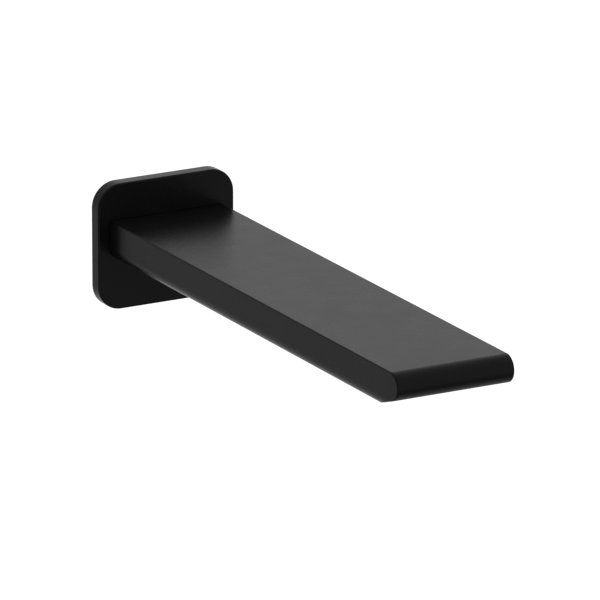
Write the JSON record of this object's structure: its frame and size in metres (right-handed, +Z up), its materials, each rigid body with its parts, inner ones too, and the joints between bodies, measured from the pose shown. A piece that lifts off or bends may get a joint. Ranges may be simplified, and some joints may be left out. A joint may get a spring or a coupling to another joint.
{
  "type": "wall mounted bath spout",
  "caption": "Flat rectangular wall mounted bath spout with a rounded wall plate, a round nose, a push-fit wall connector and a screw-in outlet cartridge in its underside.",
  "frame": {"origin": "on the finished wall, on the axis of the wall connector's G1/2 thread, at the spout's centre height", "axes": "+Y into the wall along the connector's axis, -Y along the spout into the room, +Z up, +X to the right for a person facing the wall"},
  "size_m": [0.06, 0.25, 0.0512],
  "materials": {
    "black_coating": "satin matte black powder coat with a fine even grain",
    "brass": "machined, uncoated",
    "rubber": "matte moulded rubber",
    "foam": "closed-cell foam strip",
    "fibre_washer": "pressed red-brown fibre",
    "tube_plastic": "extruded, slightly waxy",
    "steel": "plain stainless steel, a little scuffed",
    "housing_plastic": "moulded black, satin",
    "comb_plastic": "moulded dark grey, satin",
    "sleeve_plastic": "moulded, milky white",
    "steel_mesh": "woven stainless wire"
  },
  "bodies": {
    "wall_connector": {"connector_nipple": "brass", "connector_washer": "fibre_washer", "spigot_o_ring_rear": "rubber", "spigot_o_ring_front": "rubber"},
    "plate": {"wall_plate": "black_coating", "plate_seal": "rubber", "plate_gasket": "foam"},
    "spout": {"spout_shell": "black_coating", "inlet_block": "brass", "waterway_tube": "tube_plastic", "tube_seal_inlet": "rubber", "tube_seal_outlet": "rubber", "outlet_block": "brass"},
    "set_screw": {"set_screw": "steel"},
    "outlet_seal": {"outlet_washer": "rubber"},
    "outlet_cartridge": {"outlet_housing": "housing_plastic", "flow_straightener": "comb_plastic", "cartridge_sleeve": "sleeve_plastic", "screen_lower": "steel_mesh", "stream_diffuser": "sleeve_plastic", "screen_upper": "steel_mesh"}
  },
  "joints": [
    {"name": "plate_slide", "type": "slide", "parent": "spout", "child": "plate", "axis": [0, -1, 0], "range_m": [0, 0.1]},
    {"name": "spout_pull", "type": "slide", "parent": "wall_connector", "child": "spout", "axis": [0, -1, 0], "range_m": [0, 0.03]},
    {"name": "set_screw_travel", "type": "slide", "parent": "spout", "child": "set_screw", "axis": [0, 0, -1], "range_m": [0, 0.0015]},
    {"name": "outlet_drop", "type": "slide", "parent": "spout", "child": "outlet_seal", "axis": [0, 0, -1], "range_m": [0, 0.004]},
    {"name": "outlet_turn", "type": "hinge", "parent": "outlet_seal", "child": "outlet_cartridge", "pos_m": [0, -0.201, -0.004], "axis": [0, 0, -1], "range_deg": [0, 1440]}
  ],
  "couplings": [
    {"joint": "outlet_drop", "follows": "outlet_turn", "m_per_rad": 0.00015915}
  ]
}
